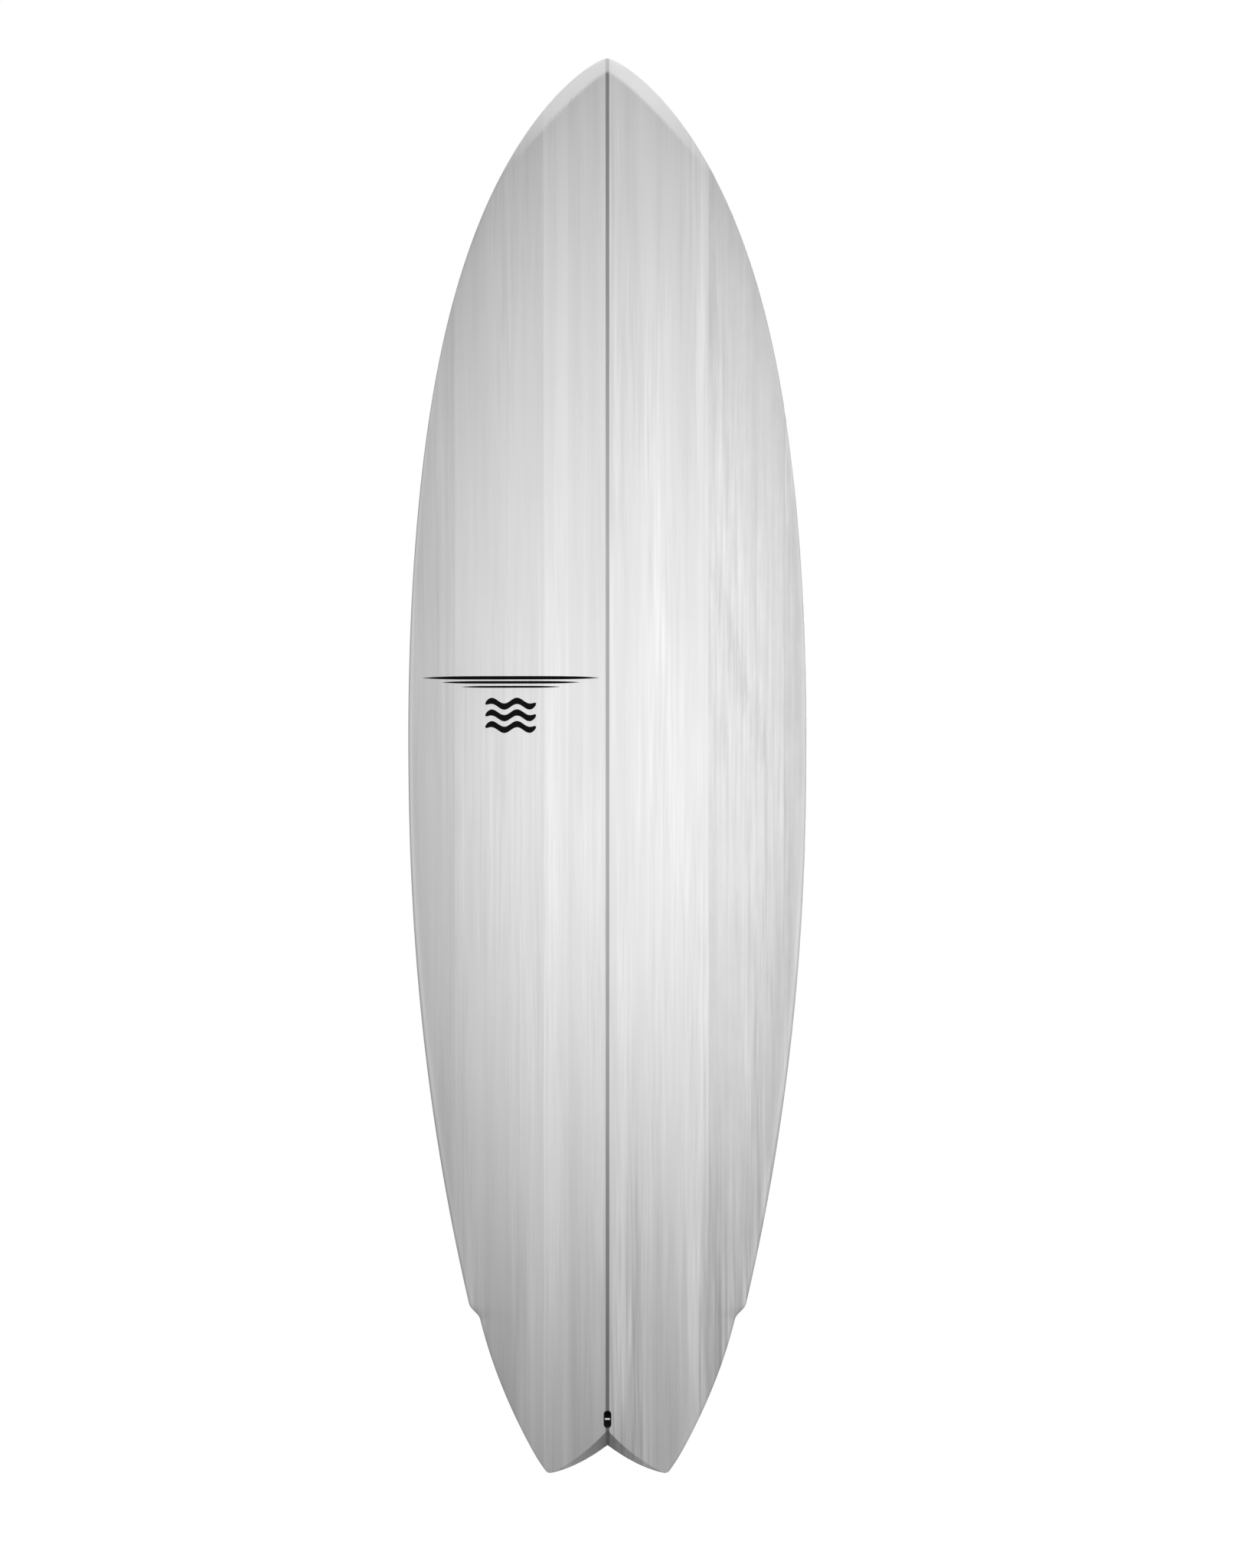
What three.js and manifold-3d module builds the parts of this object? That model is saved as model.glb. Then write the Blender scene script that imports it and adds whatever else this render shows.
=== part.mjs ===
// A 6 ft 2 in by 21 in by 2 5/8 in swallow-tail shortboard with a wood veneer skin.
//
// Millimetres, +Z along the stringer from tail to nose, +X across the board, deck facing -Y and
// bottom facing +Y. The origin is on the bottom of the stringer, half-way along the board.
// A station s is a distance from the line through the two tail tips, so z = s - LENGTH / 2.

import * as THREE from 'three';
import { mergeVertices } from 'three/addons/utils/BufferGeometryUtils.js';
import Module from 'manifold-3d';

const wasm = await Module();
wasm.setup();

// ---------------------------------------------------------------- driving dimensions

const INCH = 25.4;
const LENGTH = 74 * INCH;
const HALF_WIDTH = 10.5 * INCH;
const THICKNESS = 2.625 * INCH;

const WIDE_STATION = 985; // where the board is widest
const FLAT_HALF_LENGTH = 50; // the straight middle of the rocker, each way from mid-length
const NOSE_ROCKER = 121;
const TAIL_ROCKER = 57;

const WING_AFT = 208.5; // the wing steps the outline out between these two stations
const WING_FORE = 226;
const WING_AFT_HALF_WIDTH = 171.1;
const HIP_TUCK = 80.5; // how much narrower each side is at the wing than at the wide point
const NOTCH_DEPTH = 37.5; // crotch of the swallow tail, on the bottom
const NOTCH_SLOPE = 0.83; // how fast its edge falls away from the crotch
const NOTCH_CURVE = 0.0044; // and how fast it flattens towards the tail tips
const NOTCH_HALF_WIDTH = 82;
const NOTCH_RAKE = 22.3; // how much deeper the crotch is on the deck than on the bottom
const NOTCH_RAKE_WIDTH = 105; // distance from the stringer at which the rake would be gone

const NOSE_BEVEL_WIDTH = 21;
const NOSE_BEVEL_LENGTH = 157; // how far down the outline the bevel runs
const NOSE_BEVEL_DROP = 0.75; // share of the deck's rise that the bevel takes off at the edge

const SKIN = 3;
const GAP = 0.3; // between neighbouring pieces
const REACH = 400; // clear of the board on every side, for cutters
const STRINGER_WIDTH = 4.76;
const DECK_SEAMS = [-203.7, -85.3, 135, 235.8];
const BOTTOM_SEAMS = [-125, 125];

const FIN = { base: 111, depth: 115, tab: 96, tabDepth: 14, tabWidth: 6, baseGap: 0.4 };
const BOX = { length: 136, width: 15, depth: 18, slotDepth: 14.5 };
const SCREW = { radius: 2.5, length: 9, holeRadius: 2.8, headOffset: 5, socket: 1.45 };
const BLOCK = { length: 160, width: 40, depth: 24 };
const SIDE_FIN = { station: 340.5, x: 178, cant: 6, toe: 3 };
const CENTRE_FIN_STATION = 155.5;

const PLUG = { station: 74, width: 10.2, length: 23.4, wall: 1.5, depth: 15, bar: 1.5, barDepth: 3 };

// ---------------------------------------------------------------- materials

const material = (color, roughness, metalness = 0) =>
  new THREE.MeshStandardMaterial({ color, roughness, metalness });

const foam = () => material('#f1efe8', 0.9);
const denseFoam = () => material('#c9ccd0', 0.85);
const palest = () => material('#e6e6e4', 0.3);
const paler = () => material('#d9d9d7', 0.3);
const stringerWood = () => material('#85837f', 0.4);
const blackPlastic = () => material('#0b0b0c', 0.4);
const steel = () => material('#d8dadc', 0.25, 1);
const finLaminate = () => material('#1b1d20', 0.25);

// ---------------------------------------------------------------- solids

// A closed geometry as a solid that can be cut and joined.
function solid(geometry, matrix = new THREE.Matrix4()) {
  const bare = geometry.clone().applyMatrix4(matrix);
  bare.deleteAttribute('normal');
  bare.deleteAttribute('uv');
  const merged = mergeVertices(bare, 1e-4);
  const mesh = new wasm.Mesh({
    numProp: 3,
    vertProperties: Float32Array.from(merged.attributes.position.array),
    triVerts: Uint32Array.from(merged.index.array),
  });
  return new wasm.Manifold(mesh);
}

function geometryOf(cutSolid) {
  const mesh = cutSolid.getMesh();
  const geometry = new THREE.BufferGeometry();
  geometry.setAttribute('position', new THREE.BufferAttribute(mesh.vertProperties, mesh.numProp));
  geometry.setIndex(new THREE.BufferAttribute(mesh.triVerts, 1));
  geometry.computeVertexNormals();
  return geometry;
}

// A solid box between two corners.
function boxBetween(low, high) {
  const size = new THREE.Vector3().subVectors(high, low);
  const middle = new THREE.Vector3().addVectors(low, high).multiplyScalar(0.5);
  const box = new THREE.BoxGeometry(size.x, size.y, size.z);
  return box.translate(middle.x, middle.y, middle.z);
}

// A closed solid through rings of equal length, each ring a convex loop of points.
function loft(rings) {
  const count = rings[0].length;
  const positions = rings.flat().flatMap((point) => point.toArray());
  const index = [];
  for (let i = 0; i + 1 < rings.length; i += 1) {
    for (let j = 0; j < count; j += 1) {
      const a = i * count + j;
      const b = i * count + ((j + 1) % count);
      index.push(a, b, b + count, a, b + count, a + count);
    }
  }
  const last = (rings.length - 1) * count;
  for (let j = 1; j + 1 < count; j += 1) {
    index.push(0, j + 1, j);
    index.push(last, last + j, last + j + 1);
  }
  const geometry = new THREE.BufferGeometry();
  geometry.setAttribute('position', new THREE.Float32BufferAttribute(positions, 3));
  geometry.setIndex(index);
  return geometry;
}

// ---------------------------------------------------------------- shape of the board

const toZ = (station) => station - LENGTH / 2;
const mix = (a, b, t) => a + (b - a) * t;

// 0 at the straight middle and 1 at the tip, on the nose side and on the tail side.
const foreShare = (s) => Math.max(0, (toZ(s) - FLAT_HALF_LENGTH) / (LENGTH / 2 - FLAT_HALF_LENGTH));
const aftShare = (s) => Math.max(0, (-toZ(s) - FLAT_HALF_LENGTH) / (LENGTH / 2 - FLAT_HALF_LENGTH));

// How far the bottom has lifted towards the deck side.
const rocker = (s) => NOSE_ROCKER * foreShare(s) ** 2.25 + TAIL_ROCKER * aftShare(s) ** 2.2;

const thickness = (s) => THICKNESS * (1 - 0.79 * foreShare(s) ** 1.7) * (1 - 0.745 * aftShare(s) ** 2.4);

// The section changes from a soft middle to a hard-edged tail and a thin, even nose.
const apexShare = (s) => mix(mix(0.38, 0.45, foreShare(s)), 0.2, aftShare(s));
const deckPower = (s) => mix(mix(2.4, 2.2, foreShare(s)), 3.2, aftShare(s));
const bottomPower = (s) => mix(4.5, 12, aftShare(s));

// Half the board's width. Behind the wing the outline is a shallow curve to the tail tips.
function halfWidth(s) {
  const pod = (at) => WING_AFT_HALF_WIDTH - 0.2428 * (WING_AFT - at) - 0.000889 * (WING_AFT - at) ** 2;
  const hip = (at) => HALF_WIDTH - HIP_TUCK * ((WIDE_STATION - at) / (WIDE_STATION - WING_FORE)) ** 2.18;
  if (s <= WING_AFT) return pod(s);
  if (s < WING_FORE) return mix(pod(WING_AFT), hip(WING_FORE), (s - WING_AFT) / (WING_FORE - WING_AFT));
  if (s <= WIDE_STATION) return hip(s);
  const q = (s - WIDE_STATION) / (LENGTH - WIDE_STATION);
  return HALF_WIDTH * Math.max(0, 1 - 0.57 * q ** 2 - 0.43 * q ** 4.6) ** 0.74;
}

const outlineSlope = (s) => halfWidth(s) - halfWidth(s - 1);

// Share of the deck's rise that is left at a point, below 1 on the nose bevel.
function bevelShare(s, x) {
  const down = Math.min(1, (LENGTH - s) / NOSE_BEVEL_LENGTH);
  const width = NOSE_BEVEL_WIDTH * (1 - down ** 3);
  if (width <= 0) return 1;
  const fromEdge = (halfWidth(s) - Math.abs(x)) / Math.hypot(1, outlineSlope(s));
  return 1 - NOSE_BEVEL_DROP * Math.max(0, 1 - fromEdge / width);
}

const insetHalfWidth = (s, inset) => halfWidth(s) - inset * Math.hypot(1, outlineSlope(s));
const bottomY = (s, inset) => -rocker(s) - inset;
const apexY = (s, inset) => bottomY(s, inset) - apexShare(s) * (thickness(s) - 2 * inset);

// Depth of the bottom's roll into the rail at a share u of the half width: flat to the middle.
function bottomRoll(s, u) {
  const v = Math.max(0, (u - 0.5) / 0.5);
  return apexShare(s) * (1 - Math.sqrt(1 - v ** bottomPower(s)));
}

const CROWN_HALF = 3; // the top of the deck is flat for this far each side of the centre line
const DECK_STEPS = 5; // from the crown to the rail
const BOTTOM_SHARES = [0.97, 0.9, 0.75, 0.5]; // of the half width, from the rail inwards

// One cross-section, round from the left rail over the deck and back along the bottom.
function section(s, inset) {
  const half = Math.max(1.5, insetHalfWidth(s, inset));
  const deep = thickness(s) - 2 * inset;
  const ring = [];
  const deckPoint = (k, side) => {
    const angle = (k / DECK_STEPS) * (Math.PI / 2);
    const out = Math.max(half * Math.sin(angle) ** (2 / deckPower(s)), Math.min(CROWN_HALF, half / 2));
    const rise = (1 - apexShare(s)) * deep * Math.cos(angle) * bevelShare(s, out);
    return new THREE.Vector3(side * out, apexY(s, inset) - rise, toZ(s));
  };
  for (let k = DECK_STEPS; k >= 0; k -= 1) ring.push(deckPoint(k, -1));
  for (let k = 0; k <= DECK_STEPS; k += 1) ring.push(deckPoint(k, 1));
  const across = [...BOTTOM_SHARES, ...BOTTOM_SHARES.map((u) => -u).reverse()];
  for (const u of across) {
    ring.push(new THREE.Vector3(u * half, bottomY(s, inset) - deep * bottomRoll(s, Math.abs(u)), toZ(s)));
  }
  return ring;
}

// Stations from tail to nose. They bunch up towards the nose, where the outline turns fast.
function stations(inset) {
  const spans = [
    { from: 0, to: WING_AFT, steps: 5 },
    { from: WING_AFT, to: WING_FORE, steps: 1 },
    { from: WING_FORE, to: LENGTH / 2 - FLAT_HALF_LENGTH, steps: 6 },
    { from: LENGTH / 2 - FLAT_HALF_LENGTH, to: LENGTH / 2 + FLAT_HALF_LENGTH, steps: 1 },
    { from: LENGTH / 2 + FLAT_HALF_LENGTH, to: LENGTH, steps: 12, bunched: true },
  ];
  const all = [0];
  for (const { from, to, steps, bunched } of spans) {
    for (let k = 1; k <= steps; k += 1) {
      const share = bunched ? Math.sin((k / steps) * (Math.PI / 2)) : k / steps;
      all.push(mix(from, to, share));
    }
  }
  const tip = noseTip(inset);
  return [inset, ...all.filter((s) => s > inset + 2 && s < tip - 2), tip];
}

// The station where the outline, drawn in by the inset, closes at the nose.
function noseTip(inset) {
  let tip = LENGTH;
  while (inset > 0 && insetHalfWidth(tip, inset) < 1.5) tip -= 0.1;
  return tip;
}

// The cutter for the swallow tail: two arcs that meet at the crotch, raked from bottom to deck.
function notchCutter(grow) {
  const steps = 7;
  const reach = NOTCH_HALF_WIDTH + 6;
  const rings = [];
  for (let k = -steps; k <= steps; k += 1) {
    const x = (k / steps) * reach;
    const far = Math.abs(x);
    const edge = NOTCH_DEPTH - NOTCH_SLOPE * far + NOTCH_CURVE * far ** 2 + 1.3 * grow;
    const rake = NOTCH_RAKE * (1 - far / NOTCH_RAKE_WIDTH) ** 1.25;
    const low = -TAIL_ROCKER + 20;
    const high = -TAIL_ROCKER - 40;
    const lean = (y) => (rake * (bottomY(NOTCH_DEPTH, 0) - y)) / thickness(NOTCH_DEPTH);
    rings.push([
      new THREE.Vector3(x, low, toZ(-20)),
      new THREE.Vector3(x, low, toZ(edge + lean(low))),
      new THREE.Vector3(x, high, toZ(edge + lean(high))),
      new THREE.Vector3(x, high, toZ(-20)),
    ]);
  }
  return solid(loft(rings));
}

// The whole board, drawn in on every side by an inset.
function boardSolid(inset) {
  const rings = stations(inset).map((s) => section(s, inset));
  return solid(loft(rings)).subtract(notchCutter(inset));
}

// Everything on one side of the line round the rails: side -1 is the deck's, side 1 the bottom's.
function railHalf(side) {
  const far = side * REACH;
  const rings = stations(0).map((s) => {
    const y = apexY(s, 0) + (side * GAP) / 2;
    const z = toZ(s) + (s === 0 ? -1 : 0) + (s === LENGTH ? 1 : 0);
    const ring = [
      new THREE.Vector3(-REACH, y, z),
      new THREE.Vector3(-REACH, far, z),
      new THREE.Vector3(REACH, far, z),
      new THREE.Vector3(REACH, y, z),
    ];
    return side < 0 ? ring : ring.reverse();
  });
  return solid(loft(rings));
}

// A slice of the board between two planes across its width.
const slab = (from, to) =>
  solid(boxBetween(new THREE.Vector3(from, -REACH, -LENGTH), new THREE.Vector3(to, REACH, LENGTH)));

// ---------------------------------------------------------------- places of the fittings

// A fin's place: +Y is out of the bottom, +Z towards the nose along the fin's base.
function finPlace({ station, x = 0, cant = 0, toe = 0 }) {
  const side = Math.sign(x);
  const place = new THREE.Group();
  const roll = bottomRoll(station, Math.abs(x) / halfWidth(station));
  place.position.set(x, bottomY(station, 0) - thickness(station) * roll, toZ(station));
  const pitch = Math.atan(-(rocker(station + 1) - rocker(station - 1)) / 2);
  place.rotation.set(-pitch, THREE.MathUtils.degToRad(-side * toe), THREE.MathUtils.degToRad(-side * cant));
  place.updateMatrixWorld(true);
  return place;
}

const FINS = {
  left: finPlace({ ...SIDE_FIN, x: -SIDE_FIN.x }),
  right: finPlace(SIDE_FIN),
  centre: finPlace({ station: CENTRE_FIN_STATION }),
};

// The leash plug's place: -Y is out of the deck.
function plugPlace() {
  const deck = (s) => bottomY(s, 0) - thickness(s);
  const place = new THREE.Group();
  place.position.set(0, deck(PLUG.station), toZ(PLUG.station));
  place.rotation.x = -Math.atan((deck(PLUG.station + 1) - deck(PLUG.station - 1)) / 2);
  place.updateMatrixWorld(true);
  return place;
}

const PLUG_PLACE = plugPlace();

// A stadium lying in the XZ plane, from one height to another.
function stadium(length, width, fromY, toY) {
  const straight = (length - width) / 2;
  const shape = new THREE.Shape();
  shape.absarc(0, straight, width / 2, 0, Math.PI);
  shape.absarc(0, -straight, width / 2, Math.PI, 2 * Math.PI);
  shape.closePath();
  const block = new THREE.ExtrudeGeometry(shape, {
    depth: toY - fromY,
    bevelEnabled: false,
    curveSegments: 6,
  });
  return block.rotateX(Math.PI / 2).translate(0, toY, 0);
}

// ---------------------------------------------------------------- cavities

const cut = (geometry, place) => solid(geometry, place.matrixWorld);

const boxCavity = (place) =>
  cut(stadium(BOX.length + 2 * GAP, BOX.width + 2 * GAP, -BOX.depth - GAP, 12), place);

const plugCavity = () =>
  cut(stadium(PLUG.length + 2 * GAP, PLUG.width + 2 * GAP, -12, PLUG.depth + GAP), PLUG_PLACE);

const blockSpace = (place, grow) => {
  const half = new THREE.Vector3(BLOCK.width / 2 + grow, 0, BLOCK.length / 2 + grow);
  const low = new THREE.Vector3(-half.x, -BLOCK.depth - grow, -half.z);
  const high = new THREE.Vector3(half.x, 12, half.z);
  return cut(boxBetween(low, high), place);
};

const cavities = [...Object.values(FINS).map(boxCavity), plugCavity()];
const withoutCavities = (whole) => cavities.reduce((left, cavity) => left.subtract(cavity), whole);

// ---------------------------------------------------------------- core, stringer and skins

const outer = boardSolid(0);
const skin = outer.subtract(boardSolid(SKIN));
const filling = boardSolid(SKIN + GAP);

const group = new THREE.Group();

function add(name, geometry, finish, parent = group) {
  const mesh = new THREE.Mesh(geometry, finish);
  mesh.name = name;
  parent.add(mesh);
  return mesh;
}

function addCores() {
  const beside = STRINGER_WIDTH / 2 + GAP;
  const sides = { left: slab(-REACH, -beside), right: slab(beside, REACH) };
  for (const [name, side] of Object.entries(sides)) {
    const core = withoutCavities(filling.intersect(side)).subtract(blockSpace(FINS[name], GAP));
    add(`foam_core_${name}`, geometryOf(core), foam());
    const block = withoutCavities(blockSpace(FINS[name], 0).intersect(filling));
    add(`fin_block_${name}`, geometryOf(block), denseFoam());
  }
}

function addStringer() {
  const strip = slab(-STRINGER_WIDTH / 2, STRINGER_WIDTH / 2);
  add('stringer', geometryOf(withoutCavities(outer.intersect(strip))), stringerWood());
}

// Planks between the seams and the stringer, each cut from one skin.
function addPlanks(prefix, skinHalf, seams, names) {
  const beside = STRINGER_WIDTH / 2 + GAP / 2;
  const [left, right] = [seams.filter((x) => x < 0), seams.filter((x) => x > 0)];
  const lines = [-REACH, ...left, -beside, beside, ...right, REACH];
  let next = 0;
  for (let k = 0; k + 1 < lines.length; k += 1) {
    if (lines[k] === -beside) continue;
    const plank = skinHalf.intersect(slab(lines[k] + GAP / 2, lines[k + 1] - GAP / 2));
    add(`${prefix}_${names[next]}`, geometryOf(plank), next % 2 ? palest() : paler());
    next += 1;
  }
}

function addSkins() {
  const deckSkin = withoutCavities(skin.intersect(railHalf(-1)));
  const bottomSkin = withoutCavities(skin.intersect(railHalf(1)));
  const deckNames = ['edge_left', 'middle_left', 'inner_left', 'inner_right', 'middle_right', 'edge_right'];
  addPlanks('deck_plank', deckSkin, DECK_SEAMS, deckNames);
  addPlanks('bottom_plank', bottomSkin, BOTTOM_SEAMS, ['outer_left', 'inner_left', 'inner_right', 'outer_right']);
}

// ---------------------------------------------------------------- fins and their boxes

// The clamping screw leans in from the flange to the end of the tab.
const SCREW_HEAD = new THREE.Vector3(0, 0, FIN.base / 2 + SCREW.headOffset);
const SCREW_FOOT_Y = -(SCREW_HEAD.z - FIN.tab / 2 - GAP);

// A cylinder along the screw's axis, between two distances from the foot.
function alongScrew(end, radius, from, to, sides) {
  const lean = Math.PI / 4;
  const rod = new THREE.CylinderGeometry(radius, radius, to - from, sides);
  rod.translate(0, (from + to) / 2, 0).rotateX(lean);
  rod.translate(0, SCREW_FOOT_Y, FIN.tab / 2 + GAP);
  return end > 0 ? rod : rod.rotateY(Math.PI);
}

function finBox() {
  const slotWidth = FIN.tabWidth + 2 * GAP;
  const slotHalf = FIN.tab / 2 + GAP;
  const slotLow = new THREE.Vector3(-slotWidth / 2, -BOX.slotDepth, -slotHalf);
  const slotHigh = new THREE.Vector3(slotWidth / 2, 5, slotHalf);
  let body = solid(stadium(BOX.length, BOX.width, -BOX.depth, 0)).subtract(solid(boxBetween(slotLow, slotHigh)));
  for (const end of [-1, 1]) {
    body = body.subtract(solid(alongScrew(end, SCREW.holeRadius, -1, 24, 12)));
  }
  return geometryOf(body);
}

function grubScrew(end) {
  const start = SCREW.radius + 2 * GAP;
  const shank = solid(alongScrew(end, SCREW.radius, start, start + SCREW.length, 12));
  const socket = solid(alongScrew(end, SCREW.socket, start + SCREW.length - 3, start + SCREW.length + 1, 6));
  return geometryOf(shank.subtract(socket));
}

// Edges of the fin seen from its side, at a share h of its depth.
const leadingEdge = (h) => FIN.base / 2 - 122 * h ** 1.9;
const trailingEdge = (h) => -FIN.base / 2 + 70 * h * (1 - h) - 22.5 * h ** 3;

// Half thickness of a foil at a share of its chord behind the leading edge.
const foil = (c) => 0.5 * (2.969 * Math.sqrt(c) - 1.26 * c - 3.516 * c ** 2 + 2.843 * c ** 3 - 1.015 * c ** 4);

// A foiled blade with a tab. A side fin is flat on the side that faces the stringer.
function fin(flatSide) {
  const alongChord = [0, 0.04, 0.15, 0.35, 0.6, 0.85, 1];
  const rings = [0, 0.2, 0.4, 0.6, 0.8, 0.93, 1].map((h) => {
    const front = leadingEdge(h);
    const chord = front - trailingEdge(h);
    const thick = mix(4, 1.6, h);
    const point = (c, side) => {
      const bulge = side === flatSide ? 0.35 : foil(c) * (flatSide ? 1.25 : 1);
      return new THREE.Vector3(side * Math.max(0.5, thick * bulge), h * FIN.depth, front - c * chord);
    };
    const near = alongChord.map((c) => point(c, 1));
    const far = alongChord.map((c) => point(c, -1)).reverse();
    return [...near, ...far];
  });
  rings.forEach((ring) => ring.forEach((point) => point.setY(Math.max(point.y, FIN.baseGap))));
  const tabLow = new THREE.Vector3(-FIN.tabWidth / 2, -FIN.tabDepth, -FIN.tab / 2);
  const tabHigh = new THREE.Vector3(FIN.tabWidth / 2, FIN.baseGap + 0.3, FIN.tab / 2);
  return geometryOf(solid(loft(rings)).add(solid(boxBetween(tabLow, tabHigh))));
}

function addFins() {
  for (const [name, place] of Object.entries(FINS)) {
    group.add(place);
    add(`fin_box_${name}`, finBox(), blackPlastic(), place);
    add(`grub_screw_${name}_front`, grubScrew(1), steel(), place);
    add(`grub_screw_${name}_rear`, grubScrew(-1), steel(), place);
    add(`fin_${name}`, fin(-Math.sign(place.position.x)), finLaminate(), place);
  }
}

// ---------------------------------------------------------------- leash plug

function addPlug() {
  const open = { length: PLUG.length - 2 * PLUG.wall, width: PLUG.width - 2 * PLUG.wall };
  const rod = (radius, length) =>
    new THREE.CylinderGeometry(radius, radius, length, 12).rotateZ(Math.PI / 2).translate(0, PLUG.barDepth, 0);
  const cup = solid(stadium(PLUG.length, PLUG.width, 0, PLUG.depth))
    .subtract(solid(stadium(open.length, open.width, -5, PLUG.depth - PLUG.wall)))
    .subtract(solid(rod(PLUG.bar + GAP, PLUG.width + 10)));
  group.add(PLUG_PLACE);
  add('leash_plug_cup', geometryOf(cup), blackPlastic(), PLUG_PLACE);
  add('leash_plug_bar', rod(PLUG.bar, PLUG.width - 2 * GAP), steel(), PLUG_PLACE);
}

addCores();
addStringer();
addSkins();
addFins();
addPlug();

export default group;
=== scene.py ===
"""A swallow-tail shortboard skinned in pale wood veneer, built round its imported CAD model.

Metres. +Z runs along the stringer from tail to nose, +X across the board, -Y out of the deck.
A station s is a distance from the line through the two tail tips.
"""

import math

import bmesh
import bpy
import numpy as np
from mathutils import Matrix, Vector


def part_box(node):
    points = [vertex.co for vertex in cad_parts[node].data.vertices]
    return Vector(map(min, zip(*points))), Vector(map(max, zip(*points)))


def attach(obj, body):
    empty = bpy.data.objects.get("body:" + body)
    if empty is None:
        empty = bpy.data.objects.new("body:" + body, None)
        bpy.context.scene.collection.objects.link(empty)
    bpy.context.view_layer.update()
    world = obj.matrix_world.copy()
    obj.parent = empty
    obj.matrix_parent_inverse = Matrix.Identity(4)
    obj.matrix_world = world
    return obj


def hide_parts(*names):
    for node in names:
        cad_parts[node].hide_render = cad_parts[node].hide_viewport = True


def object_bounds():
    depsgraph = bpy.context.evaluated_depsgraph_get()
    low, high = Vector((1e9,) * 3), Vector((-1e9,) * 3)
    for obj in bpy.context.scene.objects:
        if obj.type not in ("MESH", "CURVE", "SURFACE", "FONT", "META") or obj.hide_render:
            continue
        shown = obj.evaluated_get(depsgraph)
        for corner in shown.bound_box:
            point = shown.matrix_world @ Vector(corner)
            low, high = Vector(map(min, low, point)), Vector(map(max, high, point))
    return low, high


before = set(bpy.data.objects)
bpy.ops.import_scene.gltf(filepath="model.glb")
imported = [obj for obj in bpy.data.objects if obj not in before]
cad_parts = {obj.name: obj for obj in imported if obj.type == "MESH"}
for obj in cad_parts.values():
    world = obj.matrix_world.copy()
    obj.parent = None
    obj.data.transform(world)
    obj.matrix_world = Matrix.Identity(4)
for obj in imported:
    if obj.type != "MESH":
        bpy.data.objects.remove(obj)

CAD_BOX = [list(corner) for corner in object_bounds()]

# ---------------------------------------------------------------- driving dimensions

MM = 0.001
TAIL_Z = CAD_BOX[0][2]
LENGTH = CAD_BOX[1][2] - TAIL_Z
HALF_WIDTH = (CAD_BOX[1][0] - CAD_BOX[0][0]) / 2
THICKNESS = 66.675 * MM
NOSE_ROCKER, NOSE_ROCKER_POWER = 121 * MM, 2.25
TAIL_ROCKER, TAIL_ROCKER_POWER = 57 * MM, 2.2
NOSE_THINNING, NOSE_THINNING_POWER = 0.79, 1.7  # shares of the thickness
TAIL_THINNING, TAIL_THINNING_POWER = 0.745, 2.4

WIDE_STATION = 985 * MM
FLAT_HALF_LENGTH = 50 * MM
WING_AFT = 208.5 * MM
WING_FORE = 221.5 * MM
WING_AFT_HALF_WIDTH = 171.1 * MM
HIP_TUCK, HIP_POWER = 82.4 * MM, 2.195
POD_SLOPE, POD_CURVE = 0.2428, 0.889  # of the outline behind the wing, the second per metre
NOSE_TAPER, NOSE_LATE_POWER, NOSE_POWER = 0.57, 4.6, 0.74
WING_EASE = 4 * MM  # rounding of the wing's corners
CROWN_EASE = 30 * MM  # the deck's crown takes up the wing's step over this length

NOTCH_DEPTH = 37.5 * MM
NOTCH_SLOPE = 0.83
NOTCH_CURVE = 4.4  # per metre
NOTCH_HALF_WIDTH = 82 * MM
NOTCH_RAKE = 22.3 * MM
NOTCH_RAKE_WIDTH = 105 * MM
TIP_ROUNDING = 3 * MM
TIP_TUCK, TIP_LENGTH = 2.5 * MM, 30 * MM  # how much the last of the outline turns in
NOTCH_EDGE_RADIUS = 1.2 * MM

BEVEL_WIDTH = 21 * MM
BEVEL_LENGTH = 157 * MM
BEVEL_DROP = 0.75
BEVEL_ONSET = 1.3  # above 1 the bevel starts gently at its inner line

STRINGER_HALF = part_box("stringer")[1][0]
SKIN = 2.6 * MM
SEAM = 0.04 * MM  # half the hairline between two planks
INNER_EDGE = STRINGER_HALF + SEAM


def seam(left_node, right_node):
    """Where two neighbouring planks meet, as a distance from the stringer."""
    return abs(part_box(left_node)[1][0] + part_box(right_node)[0][0]) / 2


LEFT_INNER_SEAM = seam("deck_plank_middle_left", "deck_plank_inner_left")
LEFT_EDGE_SEAM = seam("deck_plank_edge_left", "deck_plank_middle_left")
RIGHT_INNER_SEAM = seam("deck_plank_inner_right", "deck_plank_middle_right")
RIGHT_EDGE_SEAM = seam("deck_plank_middle_right", "deck_plank_edge_right")
BOTTOM_SEAM = seam("bottom_plank_inner_right", "bottom_plank_outer_right")
RAIL = 1.0  # a seam that lies beyond the rail: the plank runs out to the rail


# ---------------------------------------------------------------- shape of the board

def mix(a, b, t):
    """From a at t 0 to b at t 1."""
    return a + (b - a) * t


def smooth(t):
    """An eased step from 0 to 1 while t goes from 0 to 1."""
    t = np.clip(t, 0, 1)
    return t * t * (3 - 2 * t)


def fore_share(s):
    """0 at the straight middle of the board, 1 at the nose."""
    return np.clip((s - LENGTH / 2 - FLAT_HALF_LENGTH) / (LENGTH / 2 - FLAT_HALF_LENGTH), 0, 1)


def aft_share(s):
    """0 at the straight middle of the board, 1 at the tail."""
    return np.clip((LENGTH / 2 - s - FLAT_HALF_LENGTH) / (LENGTH / 2 - FLAT_HALF_LENGTH), 0, 1)


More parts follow.
